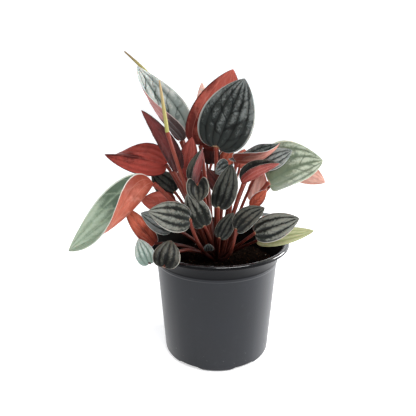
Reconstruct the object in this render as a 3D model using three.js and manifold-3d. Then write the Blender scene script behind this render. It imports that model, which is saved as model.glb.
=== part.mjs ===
// A potted peperomia: a rosette of ribbed, red-backed leaves on red stalks, two flower spikes,
// dark potting soil, and the black plastic nursery pot that holds it.
// Millimetres, +Z up. The origin is the middle of the pot's underside. -Y is the front.
import * as THREE from "three";
import { mergeVertices } from "three/addons/utils/BufferGeometryUtils.js";
import Module from "manifold-3d";

const wasm = await Module();
wasm.setup();

// ---------------------------------------------------------------- driving dimensions
const POT = {
  height: 87,
  rimRadius: 52.5, // outside of the lip
  footRadius: 39.5,
  shoulderHeight: 73, // where the straight wall ends and the collar begins to flare
  shoulderRadius: 44.2,
  wall: 1.2,
  floor: 1.6,
  lip: 2.8, // depth of the rolled edge at the top
  bead: 0.5, // the raised line round the shoulder
  drains: 6,
  drainWidth: 20,
  drainHeight: 3,
  drainDepth: 8, // how far a drain slot reaches in under the floor
  firstDrain: 29, // degrees to the right of the front
};
const SOIL_LEVEL = 70;
const SOIL_ROUGHNESS = 0.9;
const GAP = 0.35; // clearance between pieces that touch on the real plant
const CROWN = { radius: 7, foot: 52, top: 75 };
const BLADE_THICKNESS = 0.8;
const RIB_HEIGHT = 0.9; // how far the leaf stands up between its sunken veins
const RIB_FULL_WIDTH = 24; // blades at least this wide have ribs of the full height
const RIBS = { small: 2, large: 3 }; // ribs on each side of the midrib
const LARGE_LEAF = 22; // blades at least this wide have the larger count of ribs
const ROWS = { small: 5, large: 7 }; // steps along a blade, fewer on the small ones
const LOBE = 0.06; // how far a leaf's lobes reach back past its stalk, as a share of its length
const STALK = { root: 1.9, end: 1.2, sides: 5, steps: 5 }; // radii at the crown and at the blade
const STALK_SPREAD = 0.22; // how far out on the crown a stalk starts, as a share of its reach
const LEAF_BOW = 0.15; // how far a leaf's stalk bows up, as a share of its length
const SPIKE_BOW = 12;
const SPIKE_STALK = 0.95; // how thick a spike's stalk is, as a share of STALK

// Each leaf: base, where the stalk joins it, and tip, both measured from the origin; face, the way
// its upper side looks; width, its greatest width when flat. Left and right are as seen from above
// with the tip pointing away. fold lifts the left and right halves at the base and foldTip at the
// tip, curl rolls each half and arch bends the midrib, all in degrees. sway is how far the midrib
// bows to the right, in mm, and lobe how far the blade reaches back past its stalk, as a share of
// its length.
const LEAVES = [
  { name: "leaf_01", base: [-1, -6, 155], tip: [18, 2, 200], face: [0, -1, 0.2], width: 38,
    arch: 15, fold: [5, 5], curl: [-20, -20] },
  { name: "leaf_02", base: [-12, 10, 154], tip: [11, 16, 206], face: [0, 1, 0], width: 37,
    arch: 15, fold: [5, 5], curl: [-20, -20], sway: -2 },
  { name: "leaf_03", base: [-26.5, 23, 155], tip: [-56, 18, 208], face: [0.8, -0.4, 0.45], width: 44,
    arch: -45, fold: [58, 42], foldTip: [12, 42], curl: [20, 20] },
  { name: "leaf_04", base: [-30, -14, 140], tip: [-49, -20, 181], face: [0.9, 0.2, 0.45], width: 30,
    arch: -5, fold: [42, 42], curl: [10, 10] },
  { name: "leaf_05", base: [-36, 0, 142], tip: [-75, -16, 152], face: [-0.4, 0.9, 0], width: 24,
    arch: 5, fold: [-30, 5], foldTip: [130, 5], sway: -1.6 },
  { name: "leaf_06", base: [-42, -25, 134], tip: [-92, -55, 99], face: [-0.5, -0.15, 0.85], width: 43,
    arch: -38, fold: [88, 65], foldTip: [-15, 60] },
  { name: "leaf_07", base: [-43, -24, 92], tip: [-63, -20, 117], face: [-0.3, 0.9, -0.3], width: 13,
    arch: 0, fold: [15, 15] },
  { name: "leaf_08", base: [-45, -40, 84], tip: [-52, -36, 100], face: [0, -0.9, 0.4], width: 13,
    arch: 10, fold: [10, 10], via: [-34, -28, 104] },
  { name: "leaf_09", base: [-34, -54, 88], tip: [-30, -44, 102], face: [0.1, -0.8, 0.6], width: 18,
    arch: 30, fold: [5, 5], curl: [-30, -30], via: [-26, -38, 102] },
  { name: "leaf_10", base: [-18, -42, 115], tip: [-43, -50, 123], face: [0.4, -0.8, 0.4], width: 20,
    arch: 20, fold: [5, 5], curl: [-30, -30], via: [-13, -32, 88] },
  { name: "leaf_11", base: [-31, -26, 104], tip: [-50, -34, 117], face: [0.3, -0.9, 0.3], width: 15,
    arch: 10, fold: [5, 5] },
  { name: "leaf_12", base: [-30, -12, 116], tip: [-52, -18, 121], face: [-0.3, 0.9, 0.1], width: 17,
    arch: 10, fold: [10, 10] },
  { name: "leaf_13", base: [-9, -34, 108], tip: [-20, -29, 129], face: [0, -1, 0.2], width: 17,
    arch: 20, fold: [5, 5], curl: [-40, -40] },
  { name: "leaf_14", base: [-13, -42, 137], tip: [-12, -47, 128], face: [0, -0.9, 0.5], width: 15,
    arch: 10, fold: [20, 20], lobe: 0.55, via: [-10, -16, 138] },
  { name: "leaf_15", base: [-14, -26, 134], tip: [-10, -22, 157], face: [-0.9, -0.3, 0.25], width: 20,
    arch: -30, fold: [50, 50] },
  { name: "leaf_16", base: [0, -42, 123], tip: [8, -38, 150], face: [-0.1, -1, 0.2], width: 16,
    arch: -20, fold: [5, 5], curl: [-30, -30], sway: 1 },
  { name: "leaf_17", base: [7, -20, 146], tip: [-2, -25, 141], face: [0.3, -0.9, 0.4], width: 12,
    arch: 0, fold: [20, 20], via: [14, -14, 120] },
  { name: "leaf_18", base: [4, -18, 126], tip: [-7, -12, 141], face: [0, 0.9, 0.3], width: 13,
    arch: 0, fold: [10, 10] },
  { name: "leaf_19", base: [1, -37, 101], tip: [10, -33, 117], face: [0, -1, 0.3], width: 12,
    arch: 10, fold: [5, 5], curl: [-40, -40] },
  { name: "leaf_20", base: [11, -46, 110], tip: [29, -42, 123], face: [0, -0.9, 0.35], width: 14,
    arch: 10, fold: [5, 5], curl: [-40, -40], sway: -2, via: [9, -40, 84] },
  { name: "leaf_21", base: [24, -36, 104], tip: [51, -42, 116], face: [-0.2, -0.9, 0.4], width: 19,
    arch: 15, fold: [5, 5], curl: [-40, -40], via: [13, -19, 88] },
  { name: "leaf_22", base: [27, -26, 95], tip: [65, -26, 102], face: [0, -0.9, 0.4], width: 12,
    arch: 10, fold: [5, 5], via: [14, -13, 84] },
  { name: "leaf_23", base: [36, -4, 130], tip: [75, 4, 144], face: [0.05, -0.95, 0.35], width: 44,
    arch: 15, fold: [0, -40], foldTip: [0, -28], curl: [-10, -50], sway: -3, lobe: 0.02 },
  { name: "leaf_24", base: [54, 14, 139], tip: [82, 20, 124], face: [-0.2, 1, 0], width: 18,
    arch: 10, fold: [10, 10] },
  { name: "leaf_25", base: [13, -8, 145], tip: [42, -7, 158], face: [-0.25, -0.15, 0.95], width: 26,
    arch: -75, fold: [-10, 62], foldTip: [85, 30], lobe: 0.2 },
  { name: "leaf_26", base: [17, -17, 132], tip: [41, -17, 146], face: [-0.4, -0.1, 0.9], width: 24,
    arch: -10, fold: [54, 54] },
  { name: "leaf_27", base: [27, 4, 114], tip: [33, 8, 136], face: [0.1, 1, 0], width: 14,
    arch: 0, fold: [5, 5] },
  { name: "leaf_28", base: [5, 18, 137], tip: [11, 24, 150], face: [0, 1, 0.3], width: 13,
    arch: 0, fold: [5, 5] },
  { name: "leaf_29", base: [-10, 24, 163], tip: [-11, 30, 197], face: [0, 1, 0], width: 11,
    arch: 0, fold: [5, 5] },
  { name: "leaf_30", base: [-21, -16, 143], tip: [-17, -14, 163], face: [0, 1, 0], width: 12,
    arch: 0, fold: [5, 5] },
  { name: "leaf_31", base: [-6, -25, 87], tip: [-6, -29, 94], face: [0, -1, 0], width: 7,
    arch: 0, fold: [5, 5], via: [-5, -14, 84] },
  { name: "leaf_32", base: [-31, 8, 120], tip: [-48, 14, 134], face: [0, -0.9, 0.3], width: 18,
    arch: 0, fold: [5, 5] },
  { name: "leaf_33", base: [31, -2, 142], tip: [52, 0, 152], face: [0, -1, 0.2], width: 14,
    arch: 10, fold: [5, 5] },
  { name: "leaf_34", base: [17, 18, 136], tip: [21, 24, 149], face: [0, 1, 0.3], width: 13,
    arch: 0, fold: [5, 5] },
  // the back of the plant, behind the leaves that the front shows
  { name: "leaf_35", base: [4, 32, 153], tip: [10, 46, 188], face: [0, 0.9, 0.3], width: 26,
    arch: 15, fold: [10, 10], curl: [-20, -20] },
  { name: "leaf_36", base: [-27, 34, 156], tip: [-44, 46, 184], face: [0, 0.8, 0.5], width: 16,
    arch: 10, fold: [15, 15] },
  { name: "leaf_37", base: [-36, 26, 140], tip: [-66, 42, 138], face: [-0.2, 0.5, 0.8], width: 17,
    arch: 20, fold: [10, 10] },
  { name: "leaf_38", base: [-22, 26, 100], tip: [-42, 44, 104], face: [-0.3, 0.7, 0.6], width: 17,
    arch: 20, fold: [10, 10] },
  { name: "leaf_39", base: [-11, 26, 106], tip: [-15, 42, 132], face: [0, 0.9, 0.5], width: 15,
    arch: 15, fold: [10, 10] },
  { name: "leaf_40", base: [5, 30, 104], tip: [7, 44, 122], face: [0, 0.8, 0.6], width: 14,
    arch: 15, fold: [10, 10] },
  { name: "leaf_41", base: [26, 26, 131], tip: [43, 42, 141], face: [0.2, 0.7, 0.6], width: 15,
    arch: 15, fold: [10, 10] },
  { name: "leaf_42", base: [46, 30, 127], tip: [73, 46, 137], face: [0.2, 0.8, 0.5], width: 24,
    arch: 15, fold: [10, 10] },
  { name: "leaf_43", base: [26, 22, 95], tip: [52, 40, 91], face: [0.3, 0.4, 0.9], width: 17,
    arch: 20, fold: [10, 10] },
  // the middle of the plant, seen between the stalks
  { name: "leaf_44", base: [-4, 13, 140], tip: [-5, 14, 158], face: [0, 1, 0], width: 13,
    arch: 0, fold: [5, 5], via: [-12, 10, 115] },
  { name: "leaf_45", base: [-17, 5, 115], tip: [-27, 6, 144], face: [0, 1, 0.1], width: 12,
    arch: 0, fold: [5, 5] },
  { name: "leaf_46", base: [24, -9, 114], tip: [34, -9, 126], face: [0.2, 0.9, 0.1], width: 9,
    arch: 0, fold: [5, 5] },
];

// Flower spikes: the red stalk's end, where the spike begins, and the spike's tip.
const SPIKES = [
  { name: "flower_spike_1", base: [-32, -28, 168], tip: [-36, -28, 199], radius: 1.6, via: [-22, -26, 132] },
  { name: "flower_spike_2", base: [-48, 28, 201], tip: [-66, 28, 218], radius: 1.6, via: [-16, 34, 150] },
];

// ---------------------------------------------------------------- helpers
const rad = THREE.MathUtils.degToRad;
const vec = (v) => new THREE.Vector3(...v);

// A closed body from points and triangles as a manifold-3d solid, and back.
function toSolid(geometry) {
  const bare = geometry.clone();
  bare.deleteAttribute("normal");
  bare.deleteAttribute("uv");
  const merged = mergeVertices(bare, 1e-4);
  return new wasm.Manifold(
    new wasm.Mesh({
      numProp: 3,
      vertProperties: merged.attributes.position.array,
      triVerts: new Uint32Array(merged.index.array),
    }),
  );
}

function toGeometry(solid) {
  const mesh = solid.getMesh();
  const geometry = new THREE.BufferGeometry();
  geometry.setAttribute("position", new THREE.BufferAttribute(mesh.vertProperties, 3));
  geometry.setIndex(new THREE.BufferAttribute(mesh.triVerts, 1));
  geometry.computeVertexNormals();
  return geometry;
}

function fromPoints(points, triangles) {
  const geometry = new THREE.BufferGeometry().setFromPoints(points);
  geometry.setIndex(triangles);
  geometry.computeVertexNormals();
  return geometry;
}

// A profile of [radius, height] points turned about +Z.
const turned = (outline, segments) =>
  new THREE.LatheGeometry(outline.map((p) => new THREE.Vector2(...p)), segments).rotateX(Math.PI / 2);

const largest = (solid) =>
  solid.decompose().reduce((a, b) => (b.volume() > a.volume() ? b : a));

// A round bar along a curve, its radius given at each share of its length, closed at both ends.
function taperedBar(curve, radiusAt, sides, steps) {
  const frames = curve.computeFrenetFrames(steps, false);
  const points = [curve.getPointAt(0)];
  const triangles = [];
  for (let i = 0; i <= steps; i++) {
    const centre = curve.getPointAt(i / steps);
    const radius = radiusAt(i / steps);
    for (let k = 0; k < sides; k++) {
      const angle = (2 * Math.PI * k) / sides;
      points.push(
        centre
          .clone()
          .addScaledVector(frames.normals[i], radius * Math.cos(angle))
          .addScaledVector(frames.binormals[i], radius * Math.sin(angle)),
      );
    }
  }
  points.push(curve.getPointAt(1));
  const last = points.length - 1;
  for (let k = 0; k < sides; k++) {
    const next = (k + 1) % sides;
    triangles.push(0, 1 + next, 1 + k);
    for (let i = 0; i < steps; i++) {
      const a = 1 + i * sides;
      const b = a + sides;
      triangles.push(a + k, a + next, b + next, a + k, b + next, b + k);
    }
    triangles.push(last, last - sides + k, last - sides + next);
  }
  return fromPoints(points, triangles);
}

// ---------------------------------------------------------------- leaf blades
// Half the blade's width at a share t of its length, as a share of its widest half: a round base,
// the broadest part at about a third, and a drawn-out tip.
const outline = (t) => Math.sqrt(t) * (1 - t) ** 0.85 * 2.43;

// How far the two lobes beside the stalk reach back, as a share of the lobe's size.
const lobe = (t) => Math.sqrt(t) * (1 - t) ** 5 * 5.35;

const ribsOf = (leaf) => leaf.ribs || (leaf.width < LARGE_LEAF ? RIBS.small : RIBS.large);

function bladeFrame(leaf) {
  const base = vec(leaf.base);
  const along = vec(leaf.tip).sub(base);
  const chord = along.length();
  along.normalize();
  const up = vec(leaf.face);
  up.addScaledVector(along, -up.dot(along)).normalize();
  const right = new THREE.Vector3().crossVectors(along, up);
  const bend = rad(leaf.arch || 0.5);
  return { base, along, up, right, bend, length: (chord * bend) / 2 / Math.sin(bend / 2) };
}

// The point of the blade's middle surface at a share t of its length, from stalk to tip, and a
// share s of its half width, from -1 at the left margin to 1 at the right.
function bladePoint(leaf, frame, t, s) {
  const { base, along, up, right, bend, length } = frame;
  const side = s < 0 ? 0 : 1;
  const angle = bend * (0.5 - t);
  const start = bend / 2;
  const tangent = along.clone().multiplyScalar(Math.cos(angle)).addScaledVector(up, Math.sin(angle));
  const normal = up.clone().multiplyScalar(Math.cos(angle)).addScaledVector(along, -Math.sin(angle));
  const point = base
    .clone()
    .addScaledVector(along, (length * (Math.sin(start) - Math.sin(angle))) / bend)
    .addScaledVector(up, (length * (Math.cos(angle) - Math.cos(start))) / bend);
  const half = leaf.width / 2;
  const reach = Math.abs(s) * outline(t);
  const foldTip = leaf.foldTip || leaf.fold;
  const fold = rad(THREE.MathUtils.lerp(leaf.fold[side], foldTip[side], t));
  const turn = (rad((leaf.curl || [0, 0])[side]) * reach) / 2;
  const shrink = Math.abs(turn) < 1e-3 ? 1 : Math.sin(turn) / turn;
  const across = half * reach * shrink;
  const ribs = Math.abs(Math.sin(ribsOf(leaf) * Math.PI * s));
  const rib = RIB_HEIGHT * Math.min(1, leaf.width / RIB_FULL_WIDTH) * outline(t) * ribs;
  const sway = 4 * (leaf.sway || 0) * t * (1 - t);
  return point
    .addScaledVector(right, Math.sign(s) * across * Math.cos(fold + turn) + sway)
    .addScaledVector(normal, across * Math.sin(fold + turn) + rib)
    .addScaledVector(tangent, -(leaf.lobe || LOBE) * length * lobe(t) * Math.abs(s) ** 1.5);
}

// A blade as a closed solid: the middle surface moved half its thickness each way.
function bladeGeometry(leaf, thickness = BLADE_THICKNESS) {
  const frame = bladeFrame(leaf);
  const columns = 4 * ribsOf(leaf);
  const rows = leaf.width > RIB_FULL_WIDTH ? ROWS.large : ROWS.small;
  const step = 0.02;
  const normalAt = (t, s) => {
    const inner = THREE.MathUtils.clamp(t, 2 * step, 1 - 2 * step);
    const inside = THREE.MathUtils.clamp(s, step - 1, 1 - step);
    const at = (dt, ds) => bladePoint(leaf, frame, inner + dt, inside + ds);
    const ahead = at(step, 0).sub(at(-step, 0));
    const over = at(0, step).sub(at(0, -step));
    return over.cross(ahead).normalize();
  };
  const points = [];
  const faces = { upper: [], lower: [] };
  for (const [name, offset] of [["upper", thickness / 2], ["lower", -thickness / 2]]) {
    for (let i = 0; i <= rows; i++) {
      const t = (i / rows) ** 1.5;
      const pole = i === 0 || i === rows;
      const row = [];
      for (let j = 0; j <= columns; j++) {
        if (pole && j > 0) {
          row.push(row[0]);
          continue;
        }
        const s = pole ? 0 : (2 * j) / columns - 1;
        row.push(points.length);
        points.push(bladePoint(leaf, frame, t, s).addScaledVector(normalAt(t, s), offset));
      }
      faces[name].push(row);
    }
  }
  const triangles = [];
  const add = (a, b, c) => {
    if (a !== b && b !== c && a !== c) triangles.push(a, b, c);
  };
  for (const [rowsOf, facing] of [[faces.upper, 1], [faces.lower, -1]])
    for (let i = 0; i < rows; i++)
      for (let j = 0; j < columns; j++) {
        const [a, b] = [rowsOf[i][j], rowsOf[i][j + 1]];
        const [d, c] = [rowsOf[i + 1][j], rowsOf[i + 1][j + 1]];
        if (facing > 0) {
          add(a, b, c);
          add(a, c, d);
        } else {
          add(a, c, b);
          add(a, d, c);
        }
      }
  for (let i = 0; i < rows; i++)
    for (const [j, facing] of [[0, 1], [columns, -1]]) {
      const [a, b] = [faces.upper[i][j], faces.upper[i + 1][j]];
      const [d, c] = [faces.lower[i][j], faces.lower[i + 1][j]];
      if (facing > 0) {
        add(a, b, c);
        add(a, c, d);
      } else {
        add(a, c, b);
        add(a, d, c);
      }
    }
  return fromPoints(points, triangles);
}

// ---------------------------------------------------------------- stalks and crown
// How thick a leaf's stalk is, as a share of STALK: a broader blade has a stouter one.
const stalkScale = (leaf) => 0.5 + 0.4 * Math.min(1.6, leaf.width / RIB_FULL_WIDTH);

// A stalk leaves the crown on the side that its leaf is on, and bows up on its way out.
function stalkCurve(end, bow, via) {
  const out = new THREE.Vector3(end.x, end.y, 0);
  const reach = Math.min(CROWN.radius - STALK.root, STALK_SPREAD * out.length());
  const start = out.setLength(reach).setZ(CROWN.top - 3);
  const middle = via ? vec(via) : start.clone().lerp(end, 0.5);
  if (!via) middle.z += bow;
  return new THREE.QuadraticBezierCurve3(start, middle, end);
}

function stalkSolid(curve, scale) {
  const radius = (share) => scale * THREE.MathUtils.lerp(STALK.root, STALK.end, share);
  return toSolid(taperedBar(curve, radius, STALK.sides, STALK.steps));
}

// The blade with room all round it, which its own stalk stops short of.
function clearance(leaf) {
  const roomy = { ...leaf, width: leaf.width + 2 * GAP, ribs: 1 };
  const thick = bladeGeometry(roomy, BLADE_THICKNESS + 2 * GAP);
  const back = bladeFrame(leaf).along.multiplyScalar(-2 * GAP);
  return toSolid(thick).add(toSolid(thick.clone().translate(back.x, back.y, back.z)));
}

function crownSolid() {
  const { radius, foot, top } = CROWN;
  const root = [[0, foot], [radius * 0.5, foot], [radius, foot + 8]];
  const dome = [[radius, top - 7], [radius * 0.8, top - 3], [radius * 0.4, top], [0, top]];
  return toSolid(turned([...root, ...dome], 12));
}

function stemsGeometry() {
  const parts = [crownSolid()];
  for (const leaf of LEAVES) {
    const base = vec(leaf.base);
    const bow = LEAF_BOW * base.distanceTo(new THREE.Vector3(0, 0, CROWN.top));
    const stalk = stalkSolid(stalkCurve(base, bow, leaf.via), stalkScale(leaf));
    parts.push(largest(stalk.subtract(clearance(leaf))));
  }
  for (const spike of SPIKES) {
    const base = vec(spike.base);
    const gap = base.clone().sub(vec(spike.tip)).setLength(GAP);
    parts.push(stalkSolid(stalkCurve(base.add(gap), SPIKE_BOW, spike.via), SPIKE_STALK));
  }
  return toGeometry(largest(wasm.Manifold.union(parts)));
}

// ---------------------------------------------------------------- flower spikes
function spikeGeometry(spike) {
  const base = vec(spike.base);
  const tip = vec(spike.tip);
  const middle = base.clone().lerp(tip, 0.5).add(vec([0, 0, 1]));
  const radius = (share) => spike.radius * (1 - 0.6 * share ** 2) * (share % 0.2 < 0.1 ? 1 : 0.86);
  return taperedBar(new THREE.QuadraticBezierCurve3(base, middle, tip), radius, 7, 10);
}

// ---------------------------------------------------------------- pot
// The collar widens faster and faster from the shoulder to the lip.
const collarRadius = (height) => {
  const share = (height - POT.shoulderHeight) / (POT.height - POT.shoulderHeight);
  return POT.shoulderRadius + (POT.rimRadius - POT.lip / 2 - POT.shoulderRadius) * share ** 1.45;
};

function potGeometry() {
  const { height, rimRadius, footRadius, shoulderHeight, shoulderRadius, wall, floor, lip, bead } = POT;
  const flare = [0.3, 0.55, 0.78].map((share) => THREE.MathUtils.lerp(shoulderHeight, height, share));
  const outside = [
    [0, 0],
    [footRadius - 2, 0],
    [footRadius, 2],
    [shoulderRadius, shoulderHeight - 1],
    [shoulderRadius + bead, shoulderHeight - 0.4],
    [shoulderRadius + bead, shoulderHeight + 0.4],
    ...flare.map((z) => [collarRadius(z), z]),
    [rimRadius, height - lip],
    [rimRadius, height - 0.5],
    [rimRadius - 0.6, height],
  ];
  const inside = [
    [rimRadius - lip, height],
    ...[...flare].reverse().map((z) => [collarRadius(z) - wall, z]),
    [shoulderRadius - wall, shoulderHeight],
    [footRadius - wall, floor + 0.6],
    [0, floor],
  ];
  const shell = toSolid(turned([...outside, ...inside], 40));
  const slots = [];
  for (let i = 0; i < POT.drains; i++) {
    const slot = new THREE.BoxGeometry(POT.drainDepth, POT.drainWidth, 2 * POT.drainHeight);
    slot.translate(footRadius + 1 - POT.drainDepth / 2, 0, 0);
    slot.rotateZ(rad(POT.firstDrain - 90 + (360 * i) / POT.drains));
    slots.push(toSolid(slot));
  }
  return toGeometry(shell.subtract(wasm.Manifold.union(slots)));
}

// ---------------------------------------------------------------- soil
// Potting soil fills the pot to a little below the collar. Its top is lumpy, highest at the crown.
function soilHeight(x, y) {
  const lumps = Math.sin(0.55 * x + 1.3) * Math.sin(0.47 * y + 0.4) + 0.6 * Math.sin(0.9 * x - 0.8 * y);
  return SOIL_LEVEL + SOIL_ROUGHNESS * lumps - 1.5 * (Math.hypot(x, y) / POT.shoulderRadius) ** 2;
}

function soilGeometry() {
  const segments = 32;
  const rings = 6;
  const innerRadius = (z) => {
    const share = z / POT.shoulderHeight;
    return THREE.MathUtils.lerp(POT.footRadius, POT.shoulderRadius, share) - POT.wall - GAP;
  };
  const bottom = POT.floor + GAP + 0.6;
  const points = [new THREE.Vector3(0, 0, soilHeight(0, 0))];
  const triangles = [];
  const ring = (radius, heightAt) => {
    for (let k = 0; k < segments; k++) {
      const angle = (2 * Math.PI * k) / segments;
      const [x, y] = [radius * Math.cos(angle), radius * Math.sin(angle)];
      points.push(new THREE.Vector3(x, y, heightAt(x, y)));
    }
  };
  for (let i = 1; i <= rings; i++) ring((innerRadius(SOIL_LEVEL - 4) * i) / rings, soilHeight);
  ring(innerRadius(bottom) - 0.6, () => bottom);
  points.push(new THREE.Vector3(0, 0, bottom));
  const last = points.length - 1;
  for (let k = 0; k < segments; k++) {
    const next = (k + 1) % segments;
    triangles.push(0, 1 + k, 1 + next);
    for (let i = 0; i < rings; i++) {
      const a = 1 + i * segments;
      const b = a + segments;
      triangles.push(a + k, b + k, b + next, a + k, b + next, a + next);
    }
    triangles.push(last, last - segments + next, last - segments + k);
  }
  const depth = POT.height - CROWN.foot + GAP; // the crown's hole is cut from the pot's top
  const hole = new THREE.CylinderGeometry(CROWN.radius + GAP, CROWN.radius + GAP, depth, 24);
  hole.rotateX(Math.PI / 2).translate(0, 0, POT.height - depth / 2);
  return toGeometry(toSolid(fromPoints(points, triangles)).subtract(toSolid(hole)));
}

// ---------------------------------------------------------------- the plant in its pot
const finish = (color, roughness) => new THREE.MeshStandardMaterial({ color, roughness, metalness: 0 });
const PLASTIC = finish("#2c2e33", 0.42);
const EARTH = finish("#17120f", 0.95);
const RED_STALK = finish("#a3453b", 0.5);
const LEAF = finish("#5f6f67", 0.5);
const SPIKE = finish("#b5b478", 0.6);

const plant = new THREE.Group();
const addPiece = (name, geometry, material) => {
  const mesh = new THREE.Mesh(geometry, material);
  mesh.name = name;
  plant.add(mesh);
};

addPiece("pot", potGeometry(), PLASTIC);
addPiece("soil", soilGeometry(), EARTH);
addPiece("crown_and_stalks", stemsGeometry(), RED_STALK);
for (const leaf of LEAVES) addPiece(leaf.name, bladeGeometry(leaf), LEAF);
for (const spike of SPIKES) addPiece(spike.name, spikeGeometry(spike), SPIKE);

export default plant;
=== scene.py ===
"""A potted peperomia: ribbed leaves, dark or silver above and red below, on red stalks with two
pale flower spikes, in a black plastic nursery pot. Metres, +Z up, -Y the side the camera sees."""

import math
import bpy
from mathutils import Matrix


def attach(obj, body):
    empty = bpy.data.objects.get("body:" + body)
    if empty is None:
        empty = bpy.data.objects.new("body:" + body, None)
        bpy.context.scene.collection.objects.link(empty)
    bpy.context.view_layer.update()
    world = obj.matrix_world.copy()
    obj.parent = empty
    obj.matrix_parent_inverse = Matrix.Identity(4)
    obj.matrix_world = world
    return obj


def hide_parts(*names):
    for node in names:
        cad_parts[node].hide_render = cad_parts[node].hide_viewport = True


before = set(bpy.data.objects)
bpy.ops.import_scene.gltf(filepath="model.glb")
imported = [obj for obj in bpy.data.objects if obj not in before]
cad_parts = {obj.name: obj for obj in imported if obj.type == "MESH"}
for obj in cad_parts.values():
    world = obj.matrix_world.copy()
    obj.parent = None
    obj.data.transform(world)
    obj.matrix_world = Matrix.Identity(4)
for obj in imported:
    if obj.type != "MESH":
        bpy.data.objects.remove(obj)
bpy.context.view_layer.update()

from types import SimpleNamespace

import bpy
from mathutils import Vector

MM = 0.001


# ---------------------------------------------------------------- pot
# A thin-walled nursery pot, injection-moulded in one piece from black polypropylene. The wall
# tapers to the foot, a raised line marks the shoulder, and a flared collar ends in a rolled lip.
# Six slots through the foot drain it.
class Term:
    """A node's output. Python sums of terms add the Math or Vector Math nodes to work them out."""

    def __init__(self, tree, socket):
        self.tree = tree
        self.socket = socket

    def math(self, operation, *others):
        return self.tree.math(operation, self, *others)

    def __add__(self, other):
        return self.math("ADD", other)

    def __sub__(self, other):
        return self.math("SUBTRACT", other)

    def __mul__(self, other):
        return self.math("MULTIPLY", other)

    def __truediv__(self, other):
        return self.math("DIVIDE", other)

    def __pow__(self, other):
        return self.math("POWER", other)

    def __gt__(self, other):
        return self.math("GREATER_THAN", other)

    def __radd__(self, other):
        return self.tree.math("ADD", other, self)

    def __rsub__(self, other):
        return self.tree.math("SUBTRACT", other, self)

    def __rmul__(self, other):
        return self.tree.math("MULTIPLY", other, self)

    def __neg__(self):
        return self.math("MULTIPLY", -1.0)

    def __abs__(self):
        return self.math("ABSOLUTE")


class Tree:
    """A shader or geometry node tree that is being built."""

    def __init__(self, group):
        self.group = group

    def link(self, term, socket):
        self.group.links.new(term.socket, socket)

    def node(self, kind, sockets=None, output=0, **settings):
        """Adds a node: its settings first, then the values or links of its sockets. The result is
        its output of that number or name."""
        node = self.group.nodes.new(kind)
        for name, value in settings.items():
            setattr(node, name, value)
        for key, value in (sockets or {}).items():
            if isinstance(value, Term):
                self.link(value, node.inputs[key])
            else:
                node.inputs[key].default_value = value
        return Term(self, node.outputs[output]) if node.outputs else None

    def math(self, operation, *terms):
        """Math on numbers, and Vector Math where one of the terms is a vector."""
        vectors = any(isinstance(t, Term) and t.socket.type == "VECTOR" for t in terms)
        if vectors:
            terms = [t if isinstance(t, Term) else (t, t, t) for t in terms]
        kind = "ShaderNodeVectorMath" if vectors else "ShaderNodeMath"
        return self.node(kind, dict(enumerate(terms)), operation=operation)

    def ease(self, value, low, high, start=0.0, end=1.0):
        """start where value is at low or below, end at high or above, and a smooth step between."""
        sockets = {0: value, 1: low, 2: high, 3: start, 4: end}
        return self.node("ShaderNodeMapRange", sockets, interpolation_type="SMOOTHSTEP")

    def mix(self, share, first, second):
        """A colour between two others."""
        return self.node("ShaderNodeMix", {0: share, 6: first, 7: second}, 2, data_type="RGBA")

    def noise(self, place, size, detail=3.0, roughness=0.5):
        """Noise around 0.5, whose blobs are about size metres across."""
        sockets = {"Vector": place, "Scale": 1 / size, "Detail": detail, "Roughness": roughness}
        return self.node("ShaderNodeTexNoise", sockets)

    def parts(self, vector):
        """A vector's X, Y and Z."""
        return [self.node("ShaderNodeSeparateXYZ", {0: vector}, output=i) for i in range(3)]


def paint(code):
    """The linear colour of a #rrggbb code."""
    values = [int(code[i : i + 2], 16) / 255 for i in (1, 3, 5)]
    linear = [v / 12.92 if v <= 0.04045 else ((v + 0.055) / 1.055) ** 2.4 for v in values]
    return (*linear, 1.0)


def new_material(name, fixed=None):
    """A material, its tree, its object coordinates and its shader's node. fixed holds the values
    of the shader's sockets that are the same all over."""
    material = bpy.data.materials.new(name)
    material.use_nodes = True
    material.node_tree.nodes.clear()
    tree = Tree(material.node_tree)
    place = tree.node("ShaderNodeTexCoord", output="Object")
    surface = tree.node("ShaderNodeBsdfPrincipled", fixed)
    tree.node("ShaderNodeOutputMaterial", {"Surface": surface})
    return material, tree, place, surface.socket.node


def connect(surface, **terms):
    """Links terms to the shader's sockets, whose names have an underscore for a space."""
    for name, term in terms.items():
        socket = surface.inputs[name.replace("_", " ").title()]
        term.tree.link(term, socket)


def relieve(tree, surface, height, depth, strength):
    """Fine relief that shows in the shading only. Its height is in units of depth metres."""
    sockets = {"Strength": strength, "Distance": depth, "Height": height}
    connect(surface, normal=tree.node("ShaderNodeBump", sockets))


def new_object(name, data):
    obj = bpy.data.objects.new(name, data)
    bpy.context.scene.collection.objects.link(obj)
    return obj


def evaluated_mesh(obj):
    """The object's mesh with its modifiers worked out. The object itself is removed."""
    depsgraph = bpy.context.evaluated_depsgraph_get()
    mesh = bpy.data.meshes.new_from_object(
        obj.evaluated_get(depsgraph), preserve_all_data_layers=True, depsgraph=depsgraph
    )
    mesh.name = obj.name
    bpy.data.objects.remove(obj)
    return mesh


def add_piece(name, mesh, slot, *nodes):
    """A finished mesh as a piece of the object, which stands for the CAD nodes of those names."""
    obj = new_object(name, mesh)
    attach(obj, "root")
    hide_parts(*nodes)


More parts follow.
